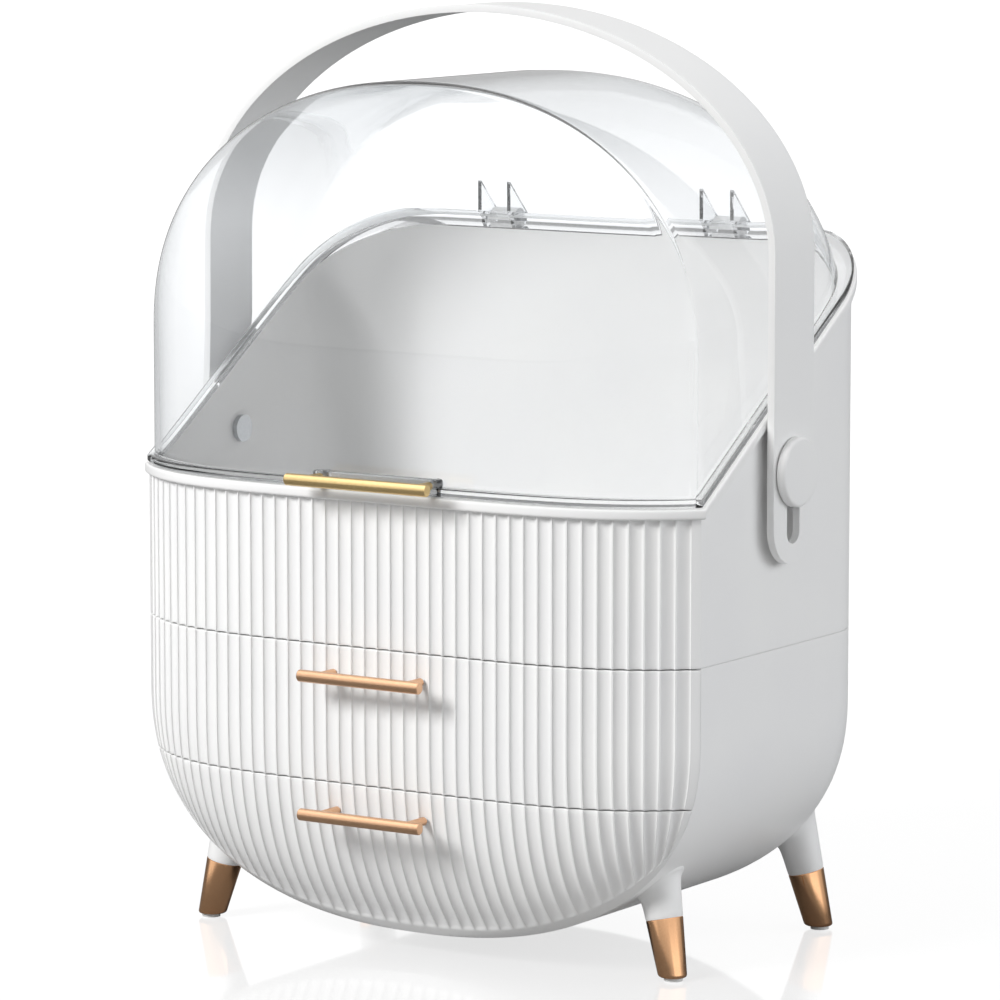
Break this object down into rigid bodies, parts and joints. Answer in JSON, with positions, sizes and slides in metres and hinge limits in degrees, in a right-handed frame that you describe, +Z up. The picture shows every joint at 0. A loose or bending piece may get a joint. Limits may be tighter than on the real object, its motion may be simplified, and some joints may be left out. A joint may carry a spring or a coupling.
{
  "type": "makeup organizer",
  "caption": "Makeup organizer: fluted tub under a clear arched lid on hinges, drawers below, a carrying strap over the sides, splayed metal-tipped legs.",
  "frame": {"origin": "on the ground, under the middle of the whole part's box", "axes": "+Z up, +X to the right seen from the front, the drawers and the lid's pull face -Y"},
  "size_m": [0.3012, 0.211, 0.4015],
  "materials": {
    "white_shell": "satin moulded plastic",
    "white_inner": "matte moulded plastic",
    "clear_plastic": "clear polished plastic",
    "rose_gold": "anodised, polished",
    "yellow_gold": "anodised, polished",
    "steel": "plain",
    "foot_rubber": "matte"
  },
  "bodies": {
    "casing": {"upper_casing": "white_shell", "lower_casing": "white_shell", "drawer_shelf": "white_inner", "drawer_runners": "white_inner", "casing_screws": "steel", "leg_front_left": "white_shell", "leg_front_right": "white_shell", "leg_rear_left": "white_shell", "leg_rear_right": "white_shell", "tip_front_left": "rose_gold", "tip_front_right": "rose_gold", "tip_rear_left": "rose_gold", "tip_rear_right": "rose_gold", "pad_front_left": "foot_rubber", "pad_front_right": "foot_rubber", "pad_rear_left": "foot_rubber", "pad_rear_right": "foot_rubber", "hinge_bracket_left": "white_shell", "hinge_bracket_right": "white_shell", "hinge_pin_left": "steel", "hinge_pin_right": "steel", "pivot_pin_left": "steel", "pivot_pin_right": "steel", "button_left": "white_shell", "button_right": "white_shell"},
    "handle_slides": {"slot_bush_left": "white_inner", "slot_bush_right": "white_inner"},
    "handle": {"carry_strap": "white_shell"},
    "lid": {"clear_lid": "clear_plastic", "lid_pull_bar": "yellow_gold", "lid_pull_posts": "yellow_gold", "lid_pull_screws": "steel"},
    "upper_drawer": {"upper_drawer_front": "white_shell", "upper_drawer_tray": "white_inner", "upper_pull_bar": "rose_gold", "upper_pull_posts": "rose_gold", "upper_pull_screws": "steel", "upper_front_screws": "steel"},
    "lower_drawer": {"lower_drawer_front": "white_shell", "lower_drawer_tray": "white_inner", "lower_pull_bar": "rose_gold", "lower_pull_posts": "rose_gold", "lower_pull_screws": "steel", "lower_front_screws": "steel"}
  },
  "joints": [
    {"name": "lid_hinge", "type": "hinge", "parent": "casing", "child": "lid", "pos_m": [0, 0.10155, 0.3024], "axis": [-1, 0, 0], "range_deg": [0, 75]},
    {"name": "handle_swing", "type": "hinge", "parent": "casing", "child": "handle_slides", "pos_m": [0, 0.00555, 0.2103], "axis": [-1, 0, 0], "range_deg": [0, 120]},
    {"name": "handle_lift", "type": "slide", "parent": "handle_slides", "child": "handle", "axis": [0, 0, 1], "range_m": [0, 0.025]},
    {"name": "upper_drawer_slide", "type": "slide", "parent": "casing", "child": "upper_drawer", "axis": [0, -1, 0], "range_m": [0, 0.11]},
    {"name": "lower_drawer_slide", "type": "slide", "parent": "casing", "child": "lower_drawer", "axis": [0, -1, 0], "range_m": [0, 0.11]}
  ],
  "couplings": [
    {"joint": "handle_swing", "follows": "lid_hinge", "ratio": 1.6}
  ]
}
